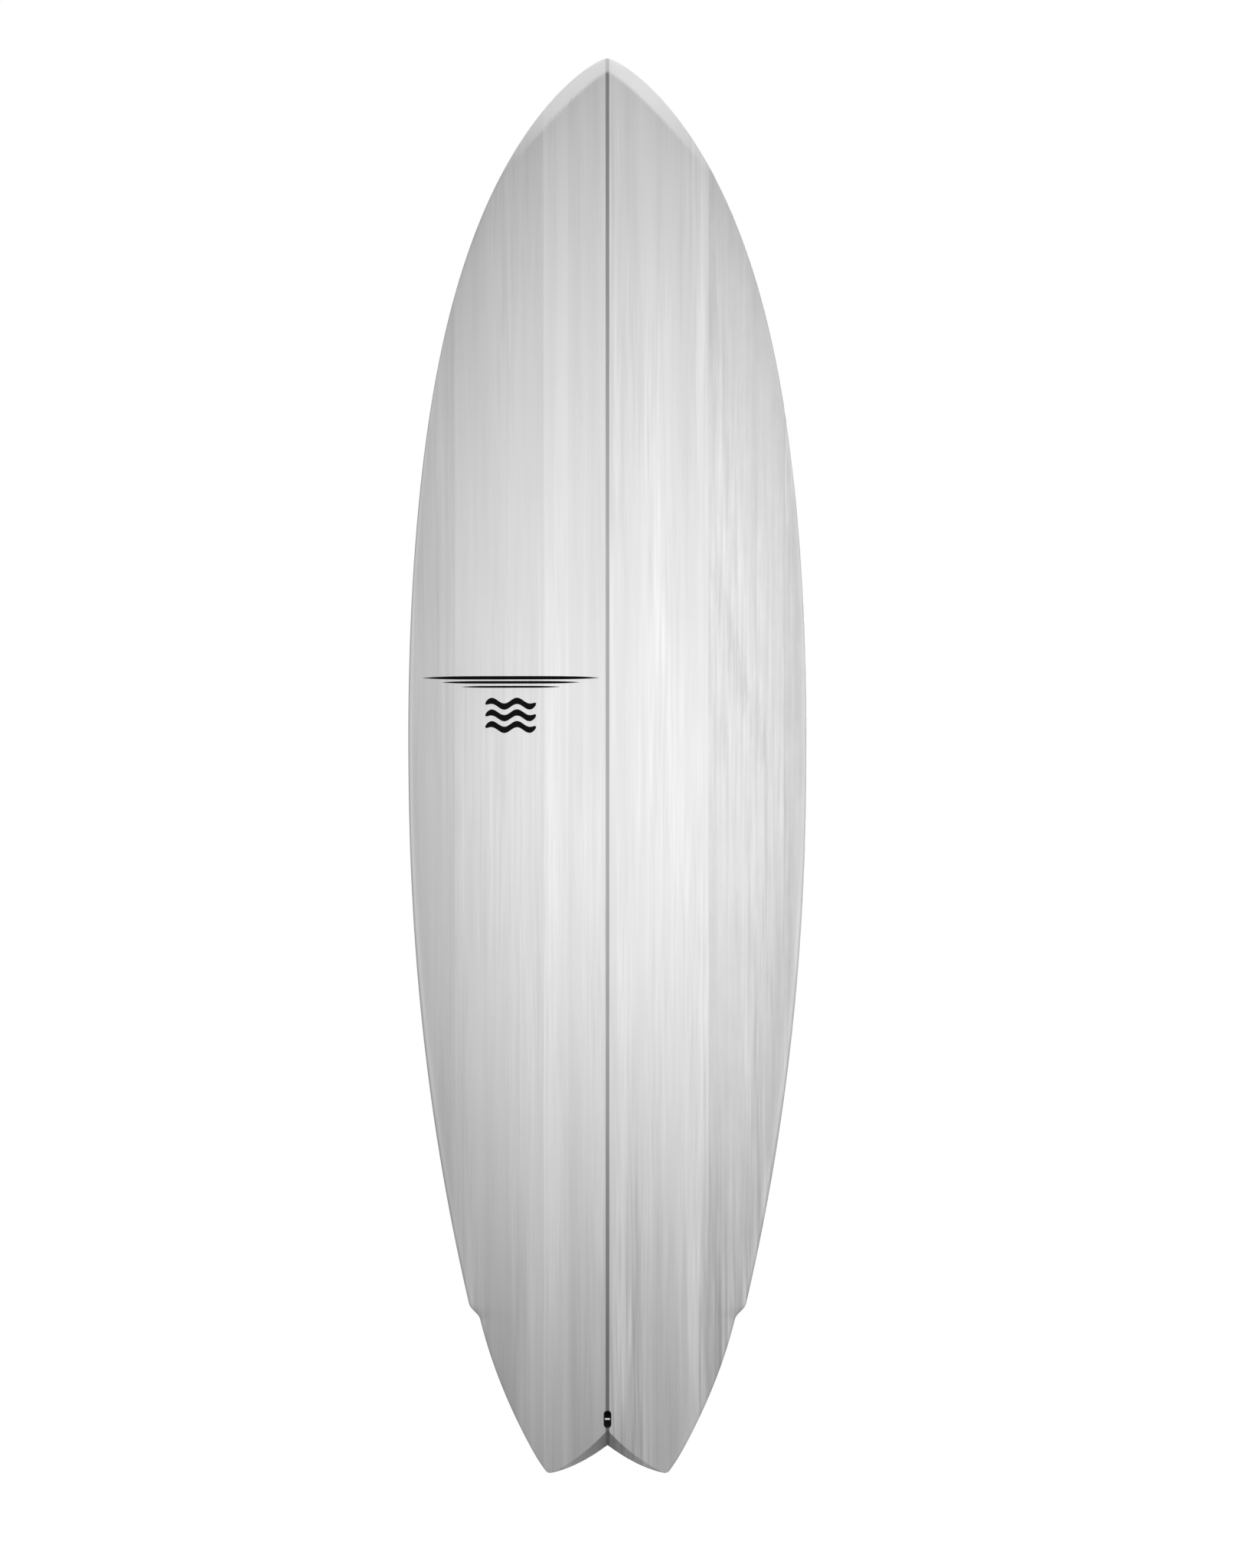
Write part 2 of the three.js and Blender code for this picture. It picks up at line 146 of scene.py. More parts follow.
def rocker(s):
    lift = NOSE_ROCKER * fore_share(s) ** NOSE_ROCKER_POWER
    return lift + TAIL_ROCKER * aft_share(s) ** TAIL_ROCKER_POWER


def thickness(s):
    toward_nose = 1 - NOSE_THINNING * fore_share(s) ** NOSE_THINNING_POWER
    toward_tail = 1 - TAIL_THINNING * aft_share(s) ** TAIL_THINNING_POWER
    return THICKNESS * toward_nose * toward_tail


def apex_share(s):
    """Height of the widest line of the rail, as a share of the thickness."""
    return mix(mix(0.38, 0.45, fore_share(s)), 0.2, aft_share(s))


def deck_power(s):
    return mix(mix(2.4, 2.2, fore_share(s)), 3.2, aft_share(s))


def bottom_power(s):
    return mix(4.5, 12, aft_share(s))


def plain_half_width(s):
    """Half the width, with sharp corners at the wing."""
    back = WING_AFT - s
    pod = WING_AFT_HALF_WIDTH - POD_SLOPE * back - POD_CURVE * back**2
    pod = pod - TIP_TUCK * np.clip(1 - s / TIP_LENGTH, 0, 1) ** 2
    reach = np.clip((WIDE_STATION - s) / (WIDE_STATION - WING_FORE), 0, None)
    hip = HALF_WIDTH - HIP_TUCK * reach**HIP_POWER
    wing_fore = HALF_WIDTH - HIP_TUCK
    wing = mix(WING_AFT_HALF_WIDTH, wing_fore, (s - WING_AFT) / (WING_FORE - WING_AFT))
    q = np.clip((s - WIDE_STATION) / (LENGTH - WIDE_STATION), 0, 1)
    taper = NOSE_TAPER * q**2 + (1 - NOSE_TAPER) * q**NOSE_LATE_POWER
    nose = HALF_WIDTH * np.clip(1 - taper, 0, 1) ** NOSE_POWER
    behind = np.where(s <= WING_AFT, pod, wing)
    ahead = np.where(s <= WIDE_STATION, hip, nose)
    return np.where(s < WING_FORE, behind, ahead)


def eased_half_width(s, ease):
    """Half the width, averaged near the wing over a distance of ease either way."""
    s = np.asarray(s, float)
    near_wing = smooth((2 * ease + 12 * MM - np.abs(s - (WING_AFT + WING_FORE) / 2)) / ease)
    around = s[..., None] + np.linspace(-ease, ease, 13)
    return mix(plain_half_width(s), plain_half_width(around).mean(axis=-1), near_wing)


def half_width(s):
    """Half the board's width, with the wing's corners rounded."""
    return eased_half_width(s, WING_EASE)


def from_outline(s, x):
    """Distance in plan from a point on the board to its outline."""
    step = 0.5 * MM
    slope = (half_width(s) - half_width(s - step)) / step
    return (half_width(s) - np.abs(x)) / np.hypot(1, slope)


def bevel_width(s):
    return BEVEL_WIDTH * (1 - np.clip((LENGTH - s) / BEVEL_LENGTH, 0, 1) ** 3)


def bevel_depth(s, x):
    """How far into the nose bevel a point is: 0 at its inner line, 1 at the outline."""
    width = bevel_width(s)
    inside = 1 - from_outline(s, x) / np.maximum(width, 1e-6)
    return np.where(width > 1e-5, np.clip(inside, 0, 1), 0.0)


def bottom_line(s):
    return -rocker(s)


def apex_y(s):
    """Height of the widest line of the rail."""
    return bottom_line(s) - apex_share(s) * thickness(s)


def crown_share(s, x):
    """0 on the centre line and 1 at the rail. The wing's step fades out away from the rail."""
    width = np.maximum(half_width(s), 1e-6)
    share = np.clip(np.abs(x) / width, 0, 1)
    return mix(share**6, share, width / np.maximum(eased_half_width(s, CROWN_EASE), 1e-6))


def deck_y(s, x):
    u = crown_share(s, x)
    rise = (1 - apex_share(s)) * thickness(s) * np.sqrt(1 - u ** deck_power(s))
    return apex_y(s) - rise * (1 - BEVEL_DROP * bevel_depth(s, x) ** BEVEL_ONSET)


def bottom_y(s, x):
    u = np.clip(np.abs(x) / np.maximum(half_width(s), 1e-6), 0, 1)
    v = np.clip((u - 0.5) / 0.5, 0, 1)
    return bottom_line(s) - thickness(s) * apex_share(s) * (1 - np.sqrt(1 - v ** bottom_power(s)))


def notch_edge(x, y):
    """Station of the swallow tail's wall, at a distance x from the centre line and a height y."""
    x = np.minimum(np.abs(x), NOTCH_RAKE_WIDTH)
    foot = NOTCH_DEPTH - NOTCH_SLOPE * x + NOTCH_CURVE * x**2
    rise = (bottom_y(NOTCH_DEPTH, 0) - y) / thickness(NOTCH_DEPTH)
    lean = NOTCH_RAKE * (1 - x / NOTCH_RAKE_WIDTH) ** 1.25 * rise
    corner = half_width(TIP_ROUNDING) - x
    rounding = TIP_ROUNDING * np.clip(1 - corner / (2 * TIP_ROUNDING), 0, 1) ** 2
    return np.maximum(foot + lean, 0) + rounding


# ---------------------------------------------------------------- surface grids

CURVE_POINTS = 260
TURN_WEIGHT = 25 * MM  # how much closer together the columns lie where the section turns


def half_section(s, side):
    """x and y along one half of a cross-section, from the centre line to the rail."""
    angle = np.linspace(0, math.pi / 2, CURVE_POINTS)
    if side == "deck":
        x = half_width(s) * np.sin(angle) ** (2 / deck_power(s))
        return x, deck_y(s, x)
    rolled = 0.5 + 0.5 * np.sin(angle) ** (2 / bottom_power(s))
    x = half_width(s) * np.concatenate([np.linspace(0, 0.5, 20)[:-1], rolled])
    return x, bottom_y(s, x)


def across(s, side, near, far, shares):
    """Points across a section between two distances from the centre line."""
    x, y = half_section(s, side)
    dx, dy = np.diff(x), np.diff(y)
    length = np.hypot(dx, dy)
    turn_weight = TURN_WEIGHT if far == RAIL else 0
    turn = np.abs(np.diff(np.unwrap(np.arctan2(dy, dx)), prepend=np.arctan2(dy[0], dx[0])))
    metric = np.concatenate([[0], np.cumsum(length + turn_weight * np.minimum(turn, 0.2))])
    low, high = np.interp([near, min(far, x[-1])], x, metric)
    at = low + (high - low) * np.asarray(shares)
    return np.interp(at, metric, x), np.interp(at, metric, y)


def station_reaching(x, low, high):
    """The station between low and high where the outline is x from the centre line."""
    rising = half_width(high) > half_width(low)
    for _ in range(60):
        middle = (low + high) / 2
        if (half_width(middle) > x) == rising:
            high = middle
        else:
            low = middle
    return (low + high) / 2


def rows_between(start, end):
    """Stations from start to end, closer together at the tail, the wing and the nose."""
    rows, s = [start], start
    while True:
        ends = min(7 * MM, 2.2 * MM + 0.05 * (s - start))
        wing = 1.6 * MM + 0.2 * max(0, abs(s - (WING_AFT + WING_FORE) / 2) - 16 * MM)
        nose = max(0.35 * MM, min(3 * MM, 0.12 * (LENGTH - s))) if s > LENGTH - BEVEL_LENGTH * 1.1 else 1
        s += min(ends, wing, nose)
        if s > end - 0.3 * MM:
            return np.array(rows + [end])
        rows.append(s)


NOTCH_SPREAD = 0.16  # the rows take up the shape of the notch over this length


def board_grid(side, near, far, columns):
    """A grid of (x, y, s) over one plank's surface on the +X side, as rows along the board."""
    notched = near < NOTCH_HALF_WIDTH
    start = 0.0 if notched else station_reaching(near, 0, WIDE_STATION)
    end = station_reaching(near, WIDE_STATION, LENGTH)
    shares = np.linspace(0, 1, columns + 1)
    rows = rows_between(start, end)
    offsets = np.zeros(columns + 1)
    if notched:
        offsets = np.array([notch_start(side, near, far, share) for share in shares])
    grid = np.zeros((len(rows), columns + 1, 3))
    for i, row in enumerate(rows):
        stations = row + offsets * (1 - smooth(row / NOTCH_SPREAD))
        if np.ptp(stations) < 1e-7:
            x, y = across(stations[0], side, near, far, shares)
        else:
            pairs = [across(s, side, near, far, [share]) for s, share in zip(stations, shares)]
            x, y = np.array(pairs)[:, :, 0].T
        grid[i] = np.stack([x, y, stations], axis=1)
    return with_notch_wall(grid) if notched and side == "deck" else grid


def notch_start(side, near, far, share):
    """The station where a column of the grid meets the wall of the notch."""
    s = NOTCH_DEPTH
    for _ in range(40):
        x, y = across(s, side, near, far, [share])
        on_wall = notch_edge(x[0], y[0]) if x[0] < NOTCH_HALF_WIDTH else 0.0
        s = mix(s, float(on_wall), 0.6)
    return s


def notch_foot(x):
    """The bottom edge of the notch's wall, for distances x from the centre line."""
    s = notch_edge(x, bottom_y(NOTCH_DEPTH, 0))
    for _ in range(4):
        s = notch_edge(x, bottom_y(s, x))
    return np.stack([x, bottom_y(s, x), s], axis=1)


def with_notch_wall(grid):
    """The deck grid with rows added down the wall of the notch, and its edge rounded."""
    corner, inland = grid[0], grid[1]
    foot = notch_foot(corner[:, 0])
    foot[:, 2] = np.minimum(foot[:, 2], corner[:, 2])
    down = foot - corner
    drop = np.linalg.norm(down, axis=1, keepdims=True)
    along = inland - corner
    along /= np.linalg.norm(along, axis=1, keepdims=True)
    radius = np.minimum(NOTCH_EDGE_RADIUS, 0.3 * drop)
    below = corner + down / np.maximum(drop, 1e-9) * radius
    beyond = corner + along * radius
    wall = [mix(foot, below, t) for t in (0, 0.25, 0.5, 0.75)]
    shares = np.linspace(0, 1, 6)
    rounding = [(1 - t) ** 2 * below + 2 * t * (1 - t) * corner + t**2 * beyond for t in shares]
    return np.concatenate([np.array(wall + rounding), grid[1:]])


# ---------------------------------------------------------------- mesh helpers

SHARP = math.radians(32)
WELD = 2e-6


def to_world(points, side=1):
    """Board coordinates (x, y, s) to the row frame, mirrored to the left with side -1."""
    points = np.array(points, float).reshape(-1, 3)
    return np.stack([points[:, 0] * side, points[:, 1], points[:, 2] + TAIL_Z], axis=1)


def new_object(name, mesh):
    obj = bpy.data.objects.new(name, mesh)
    bpy.context.scene.collection.objects.link(obj)
    return obj


def mesh_object(name, vertices, faces):
    mesh = bpy.data.meshes.new(name)
    mesh.from_pydata([tuple(v) for v in vertices], [], faces)
    mesh.validate()
    return new_object(name, mesh)


def grid_faces(rows, columns, wrap=False):
    """Quads between the points of a grid, and round each row if wrap is set."""
    faces = []
    for i in range(rows - 1):
        for j in range(columns if wrap else columns - 1):
            k = (j + 1) % columns
            faces.append((i * columns + j, i * columns + k, (i + 1) * columns + k, (i + 1) * columns + j))
    return faces


def clean(obj, outward=None):
    """Welds coincident points and turns the faces outward. An open sheet is turned towards outward."""
    bm = bmesh.new()
    bm.from_mesh(obj.data)
    bmesh.ops.remove_doubles(bm, verts=bm.verts, dist=WELD)
    bmesh.ops.dissolve_degenerate(bm, edges=bm.edges, dist=WELD)
    bmesh.ops.recalc_face_normals(bm, faces=bm.faces)
    if outward is not None:
        facing = sum((face.normal * face.calc_area() for face in bm.faces), Vector())
        if facing.dot(Vector(outward)) < 0:
            bmesh.ops.reverse_faces(bm, faces=bm.faces)
    bm.to_mesh(obj.data)
    bm.free()


def mark_sharp(obj):
    """Shades the faces smooth, save across the sharp edges."""
    bm = bmesh.new()
    bm.from_mesh(obj.data)
    for face in bm.faces:
        face.smooth = True
    for edge in bm.edges:
        edge.smooth = len(edge.link_faces) == 2 and edge.calc_face_angle() < SHARP
    bm.to_mesh(obj.data)
    bm.free()


def bake_modifiers(obj):
    """Turns the object's modifiers into mesh."""
    depsgraph = bpy.context.evaluated_depsgraph_get()
    mesh = bpy.data.meshes.new_from_object(obj.evaluated_get(depsgraph))
    obj.modifiers.clear()
    obj.data = mesh


def thicken(obj, depth):
    solidify = obj.modifiers.new("solidify", "SOLIDIFY")
    solidify.thickness = depth
    solidify.offset = -1
    bake_modifiers(obj)


def cut(obj, cutters):
    """Cuts holes in obj with closed meshes."""
    for cutter in cutters:
        boolean = obj.modifiers.new("cut", "BOOLEAN")
        boolean.object = cutter
        boolean.operation = "DIFFERENCE"
        boolean.solver = "EXACT"
    bake_modifiers(obj)


def soften(obj, width, segments=3):
    """Rounds the sharp edges a little."""
    bevel = obj.modifiers.new("bevel", "BEVEL")
    bevel.width = width
    bevel.segments = segments
    bevel.limit_method = "ANGLE"
    bevel.angle_limit = SHARP
    bevel.harden_normals = False
    bake_modifiers(obj)


def finish_piece(obj, body, slot, material, *nodes):
    """The piece stands for its CAD nodes, rides on their body and takes its material."""
    obj.data.materials.clear()
    obj.data.materials.append(material)
    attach(obj, body)
    if nodes:
        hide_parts(*nodes)


# ---------------------------------------------------------------- materials

def new_material(name, roughness, coat=0.0, coat_roughness=0.05, metallic=0.0):
    """A Principled material, with its node tree, its shader and its object coordinates."""
    material = bpy.data.materials.new(name)
    material.use_nodes = True
    tree = material.node_tree
    shader = tree.nodes["Principled BSDF"]
    shader.inputs["Roughness"].default_value = roughness
    shader.inputs["Metallic"].default_value = metallic
    shader.inputs["Coat Weight"].default_value = coat
    shader.inputs["Coat Roughness"].default_value = coat_roughness
    coordinates = tree.nodes.new("ShaderNodeTexCoord").outputs["Object"]
    return material, tree, shader, coordinates


def noise(tree, coordinates, scale, detail=2.0, roughness=0.5, offset=(0, 0, 0)):
    """A noise texture, stretched by a scale on each axis. Its value lies round 0.5."""
    mapping = tree.nodes.new("ShaderNodeMapping")
    mapping.inputs["Scale"].default_value = scale
    mapping.inputs["Location"].default_value = offset
    texture = tree.nodes.new("ShaderNodeTexNoise")
    texture.inputs["Scale"].default_value = 1.0
    texture.inputs["Detail"].default_value = detail
    texture.inputs["Roughness"].default_value = roughness
    tree.links.new(coordinates, mapping.inputs["Vector"])
    tree.links.new(mapping.outputs["Vector"], texture.inputs["Vector"])
    return texture.outputs["Fac"]


def math_node(tree, operation, *inputs):
    node = tree.nodes.new("ShaderNodeMath")
    node.operation = operation
    for socket, value in zip(node.inputs, inputs):
        if isinstance(value, (int, float)):
            socket.default_value = value
        else:
            tree.links.new(value, socket)
    return node.outputs["Value"]


def ramp(tree, value, from_low, from_high, to_low, to_high):
    """Eases from to_low to to_high while the value goes from from_low to from_high."""
    node = tree.nodes.new("ShaderNodeMapRange")
    node.interpolation_type = "SMOOTHSTEP"
    node.inputs["From Min"].default_value = from_low
    node.inputs["From Max"].default_value = from_high
    node.inputs["To Min"].default_value = to_low
    node.inputs["To Max"].default_value = to_high
    tree.links.new(value, node.inputs["Value"])
    return node.outputs["Result"]


def around_one(tree, value, amount):
    """A factor that strays from 1 by the noise times an amount."""
    return math_node(tree, "MULTIPLY_ADD", math_node(tree, "SUBTRACT", value, 0.5), amount, 1.0)


def attribute(tree, name):
    node = tree.nodes.new("ShaderNodeAttribute")
    node.attribute_name = name
    return node.outputs["Fac"]


def wavering(tree, coordinates, amount, offset):
    """Coordinates whose X wanders a little along the board, so that the grain isn't ruled."""
    wander = noise(tree, coordinates, (6, 0, 1.6), 2, 0.5, offset)
    shift = math_node(tree, "MULTIPLY", math_node(tree, "SUBTRACT", wander, 0.5), amount)
    split = tree.nodes.new("ShaderNodeSeparateXYZ")
    tree.links.new(coordinates, split.inputs["Vector"])
    join = tree.nodes.new("ShaderNodeCombineXYZ")
    tree.links.new(math_node(tree, "ADD", split.outputs["X"], shift), join.inputs["X"])
    tree.links.new(split.outputs["Y"], join.inputs["Y"])
    tree.links.new(split.outputs["Z"], join.inputs["Z"])
    return join.outputs["Vector"], split.outputs


VENEER_ROUGHNESS = 0.5
COAT_ROUGHNESS = 0.42
PAINTED_WALL_SHADE = 0.66  # painted shade: how much darker the veneer is painted on the notch's wall, which faces down into shade
BAND_TONE = 0.90  # painted light: the paler tone of the veneer on the nose bevel, which faces up towards the light from above
# STRINGER_BAND_TONE is the stringer's tone on the nose bevel, painted paler as painted light from above.
STRINGER_TONE, STRINGER_BAND_TONE = 0.265, 0.72


def veneer(name, tone, seed, broad=0.36, fine=0.24, strips=(), mottle=0.0, streaked=False):
    """Clear-coated wood veneer with its grain along the board.

    broad and fine are the strengths of the wide streaks and of the narrow lines, which come in
    clusters. Both are strongest at the tail. strips are bands of paler or darker wood, each given
    as (from x, to x, factor).
    """
    material, tree, shader, coordinates = new_material(name, VENEER_ROUGHNESS, 1.0, COAT_ROUGHNESS)
    offset = (seed * 3.7, 0, seed * 1.9)
    grain, place = wavering(tree, coordinates, 0.006, offset)
    clusters = noise(tree, grain, (14, 0, 1.3), 2, 0.5, offset)
    cluster = ramp(tree, clusters, 0.35, 0.65, fine * 0.3, fine * 1.7)
    lines = math_node(tree, "SUBTRACT", noise(tree, grain, (128, 0, 3), 2, 0.87, offset), 0.5)
    wide = math_node(tree, "SUBTRACT", noise(tree, grain, (16, 0, 0.6), 2, 0.87, offset), 0.5)
    streaks = math_node(tree, "MULTIPLY_ADD", lines, cluster, math_node(tree, "MULTIPLY", wide, broad))
    strength = ramp(tree, place["Z"], -0.80, -0.45, 2.3, 1.0)
    factors = [
        math_node(tree, "MULTIPLY_ADD", streaks, strength, 1.0),
        around_one(tree, noise(tree, coordinates, (9, 0, 5), 3, 0.6, offset), 0.08),
    ]
    edge = 0.8 * MM
    for low, high, factor in strips:
        rise = ramp(tree, place["X"], low - edge, low + edge, 0, 1)
        fall = ramp(tree, place["X"], high - edge, high + edge, 1, 0)
        inside = math_node(tree, "MULTIPLY", rise, fall)
        factors.append(math_node(tree, "MULTIPLY_ADD", inside, factor - 1, 1.0))
    if mottle:
        factors.append(around_one(tree, noise(tree, grain, (45, 0, 14), 3, 0.7, offset), mottle))
    if streaked:
        factors.append(cathedral(tree, grain, place))
    value = tone
    for factor in factors:
        value = math_node(tree, "MULTIPLY", factor, value)
    # Painted shade: the veneer is darkened on the notch's wall and on the skin's foot below it, most at
    # the notch's crotch, where the downward-facing wall lies in shade.
    painted_wall_shade = math_node(tree, "MULTIPLY_ADD", attribute(tree, "painted_wall_shade"), -PAINTED_WALL_SHADE, 1.0)
    value = math_node(tree, "MULTIPLY", value, painted_wall_shade)
    # Painted light: the nose bevel, which faces up towards the light from above, is painted paler.
    paled = tree.nodes.new("ShaderNodeMix")
    tree.links.new(attribute(tree, "painted_nose_light"), paled.inputs["Factor"])
    tree.links.new(value, paled.inputs["A"])
    tree.links.new(math_node(tree, "MULTIPLY_ADD", value, 0.15, BAND_TONE), paled.inputs["B"])
    tree.links.new(paled.outputs["Result"], shader.inputs["Base Color"])
    bump = tree.nodes.new("ShaderNodeBump")
    bump.inputs["Strength"].default_value = 0.08
    bump.inputs["Distance"].default_value = 0.2 * MM
    tree.links.new(noise(tree, grain, (700, 0, 9), 2, 0.6, offset), bump.inputs["Height"])
    tree.links.new(bump.outputs["Normal"], shader.inputs["Normal"])
    return material


STREAK_X, STREAK_LEAN = 0.215, -0.289  # its line's x at Z 0, and the slope of x along Z
STREAK_HALF_WIDTH, STREAK_FEATHER = 0.016, 0.09
STREAK_MIDDLE_Z = 0.13


def cathedral(tree, grain, place):
    """A dark, feathered streak that leans across the plank."""
    line = math_node(tree, "MULTIPLY_ADD", place["Z"], STREAK_LEAN, STREAK_X)
    ragged = noise(tree, grain, (240, 0, 9), 3, 0.8, (2.3, 0, 0.7))
    feather = math_node(tree, "MULTIPLY", ragged, STREAK_FEATHER)
    away = math_node(tree, "SUBTRACT", math_node(tree, "ADD", place["X"], feather), line)
    away = math_node(tree, "ABSOLUTE", math_node(tree, "SUBTRACT", away, STREAK_FEATHER / 2))
    streak = ramp(tree, away, 0.0, STREAK_HALF_WIDTH, 1, 0)
    height = math_node(tree, "ABSOLUTE", math_node(tree, "SUBTRACT", place["Z"], STREAK_MIDDLE_Z))
    middle = ramp(tree, height, 0.08, 0.20, 1, 0)
    return math_node(tree, "MULTIPLY_ADD", math_node(tree, "MULTIPLY", streak, middle), -0.11, 1.0)


def stringer_wood():
    """The stringer's darker wood, darkest at both ends of the board."""
    material, tree, shader, coordinates = new_material(
        "stringer_wood", VENEER_ROUGHNESS, 1.0, COAT_ROUGHNESS
    )
    lines = around_one(tree, noise(tree, coordinates, (900, 0, 8), 2), 0.3)
    patches = around_one(tree, noise(tree, coordinates, (0, 0, 12), 3), 0.25)
    split = tree.nodes.new("ShaderNodeSeparateXYZ")
    tree.links.new(coordinates, split.inputs["Vector"])
    from_middle = math_node(tree, "ABSOLUTE", split.outputs["Z"])
    value = math_node(tree, "MULTIPLY", lines, STRINGER_TONE)
    value = math_node(tree, "MULTIPLY", value, patches)
    value = math_node(tree, "MULTIPLY", value, ramp(tree, from_middle, 0.25, 0.85, 1.04, 0.72))
    # Painted shade: the stringer is darkened on the notch's wall, where the downward-facing wall lies in
    # shade.
    painted_wall_shade = math_node(tree, "MULTIPLY_ADD", attribute(tree, "painted_wall_shade"), -0.3, 1.0)
    value = math_node(tree, "MULTIPLY", value, painted_wall_shade)
    # Painted light: the stringer is painted paler on the nose bevel, which faces up towards the light
    # from above.
    paled = tree.nodes.new("ShaderNodeMix")
    tree.links.new(attribute(tree, "painted_nose_light"), paled.inputs["Factor"])
    tree.links.new(value, paled.inputs["A"])
    paled.inputs["B"].default_value = STRINGER_BAND_TONE
    tree.links.new(paled.outputs["Result"], shader.inputs["Base Color"])
    return material


def speckled(name, tone, roughness, spread, scale, metallic=0.0, bump=0.0):
    """A plain grey stuff whose tone and gloss stray a little from place to place."""
    material, tree, shader, coordinates = new_material(name, roughness, metallic=metallic)
    pattern = noise(tree, coordinates, scale, 3)
    value = math_node(tree, "MULTIPLY", around_one(tree, pattern, spread), tone)
    tree.links.new(value, shader.inputs["Base Color"])
    gloss = ramp(tree, pattern, 0.3, 0.7, roughness * 0.85, roughness * 1.15)
    tree.links.new(gloss, shader.inputs["Roughness"])
    if bump:
        node = tree.nodes.new("ShaderNodeBump")
        node.inputs["Strength"].default_value = bump
        node.inputs["Distance"].default_value = 0.1 * MM
        tree.links.new(pattern, node.inputs["Height"])
        tree.links.new(node.outputs["Normal"], shader.inputs["Normal"])
    return material


WEAVE = 3900  # radians per metre, for tows 0.8 mm wide


def woven_laminate():
    """Dark glass cloth under a clear coat, in a plain weave."""
    material, tree, shader, coordinates = new_material("fin_laminate", 0.42, 1.0, 0.06)
    split = tree.nodes.new("ShaderNodeSeparateXYZ")
    tree.links.new(coordinates, split.inputs["Vector"])
    turns = [math_node(tree, "MULTIPLY", split.outputs[axis], WEAVE) for axis in ("Y", "Z")]
    weave = math_node(tree, "MULTIPLY", *[math_node(tree, "SINE", turn) for turn in turns])
    tone = math_node(tree, "MULTIPLY_ADD", weave, 0.010, 0.030)
    cloudy = around_one(tree, noise(tree, coordinates, (60, 60, 60), 3), 0.5)
    tree.links.new(math_node(tree, "MULTIPLY", tone, cloudy), shader.inputs["Base Color"])
    tree.links.new(math_node(tree, "MULTIPLY_ADD", weave, 0.06, 0.42), shader.inputs["Roughness"])
    return material


# ---------------------------------------------------------------- skin and stringer

PLANK_COLUMN = 4.5 * MM
BAND_REACH, BAND_SOFTNESS = 1.084, 0.22  # of the nose band painted paler as painted light on the upturned bevel, as shares of the bevel's width
# How far the painted shade of the notch's wall reaches: off the wall, and along the bottom skin's foot
# below it.
WALL_MARGIN = 0.4 * MM
FOOT_LENGTH = 3.5 * MM


def mark_places(obj):
    """Stores on each vertex how far it is into the nose bevel and onto the notch's wall.

    The bevel's share is the mask of painted light on the nose bevel, and the wall's share is the mask of
    painted shade on the notch's wall and its foot, strongest at the notch's crotch. The foot is the inner
    side of the bottom skin where it shows below the wall.
    """
    points = np.array([v.co for v in obj.data.vertices])
    s, x, y = points[:, 2] - TAIL_Z, points[:, 0], points[:, 1]
    # Painted light: a mask for the nose bevel, painted paler for the light it catches from above.
    reach = from_outline(s, x) / np.maximum(bevel_width(s), 1e-6)
    fade = smooth((s - LENGTH + BEVEL_LENGTH) / (0.8 * BEVEL_LENGTH))
    band = smooth((BAND_REACH - reach) / BAND_SOFTNESS) * fade * (y < apex_y(s) + 0.1 * MM)
    # Painted shade on the notch's wall and its foot, strongest towards the notch's crotch.
    away = np.abs(s - notch_edge(x, y)) / WALL_MARGIN
    foot_y = bottom_y(s, x)
    in_skin = (y > foot_y - SKIN - 0.3 * MM) & (y < foot_y - 0.5 * MM)
    foot = in_skin & (s < notch_edge(x, foot_y) + FOOT_LENGTH)
    centre = np.clip(1 - np.abs(x) / NOTCH_HALF_WIDTH, 0, 1)
    wall = np.maximum(np.clip(1 - away, 0, 1), foot) * centre**2.4
    for name, values in (("painted_nose_light", band), ("painted_wall_shade", wall)):
        layer = obj.data.attributes.new(name, "FLOAT", "POINT")
        layer.data.foreach_set("value", values.astype(np.float32))


def plank(node, side, near, far, hand, material, cutters=()):
    """One veneer plank on the deck or the bottom. hand is 1 on the right and -1 on the left."""
    columns = int((min(far, HALF_WIDTH) - near) / PLANK_COLUMN) + (14 if far == RAIL else 0)
    far_edge = far if far == RAIL else far - SEAM
    grid = board_grid(side, max(near + SEAM, INNER_EDGE), far_edge, columns)
    obj = mesh_object(f"{node}_fine", to_world(grid, hand), grid_faces(*grid.shape[:2]))
    clean(obj, outward=(0, -1, 0) if side == "deck" else (0, 1, 0))
    thicken(obj, SKIN)
    clean(obj)
    if cutters:
        cut(obj, cutters)
    mark_places(obj)
    mark_sharp(obj)
    slot = "deck_veneer" if side == "deck" else "bottom_veneer"
    finish_piece(obj, "board", slot, material, node)


def stringer(material, cutters):
    """The strip on the centre line, as deep as the board, with its pointed end in the notch."""
    middle, edge = board_grid("deck", 0.0, STRINGER_HALF, 1).transpose(1, 0, 2)
    rings = []
    for (_, y, s), (x, edge_y, edge_s) in zip(middle, edge):
        low, edge_low = float(bottom_y(s, 0)), float(bottom_y(edge_s, x))
        rings += [(-x, edge_y, edge_s), (0, y, s), (x, edge_y, edge_s)]
        rings += [(x, edge_low, edge_s), (0, low, s), (-x, edge_low, edge_s)]
    faces = grid_faces(len(edge), 6, wrap=True)
    last = 6 * (len(edge) - 1)
    faces += [tuple(range(6)), tuple(range(last + 5, last - 1, -1))]
    obj = mesh_object("stringer_fine", to_world(rings), faces)
    clean(obj)
    cut(obj, cutters)
    mark_places(obj)
    mark_sharp(obj)
    finish_piece(obj, "board", "stringer_wood", material, "stringer")


# ---------------------------------------------------------------- fins, boxes and screws

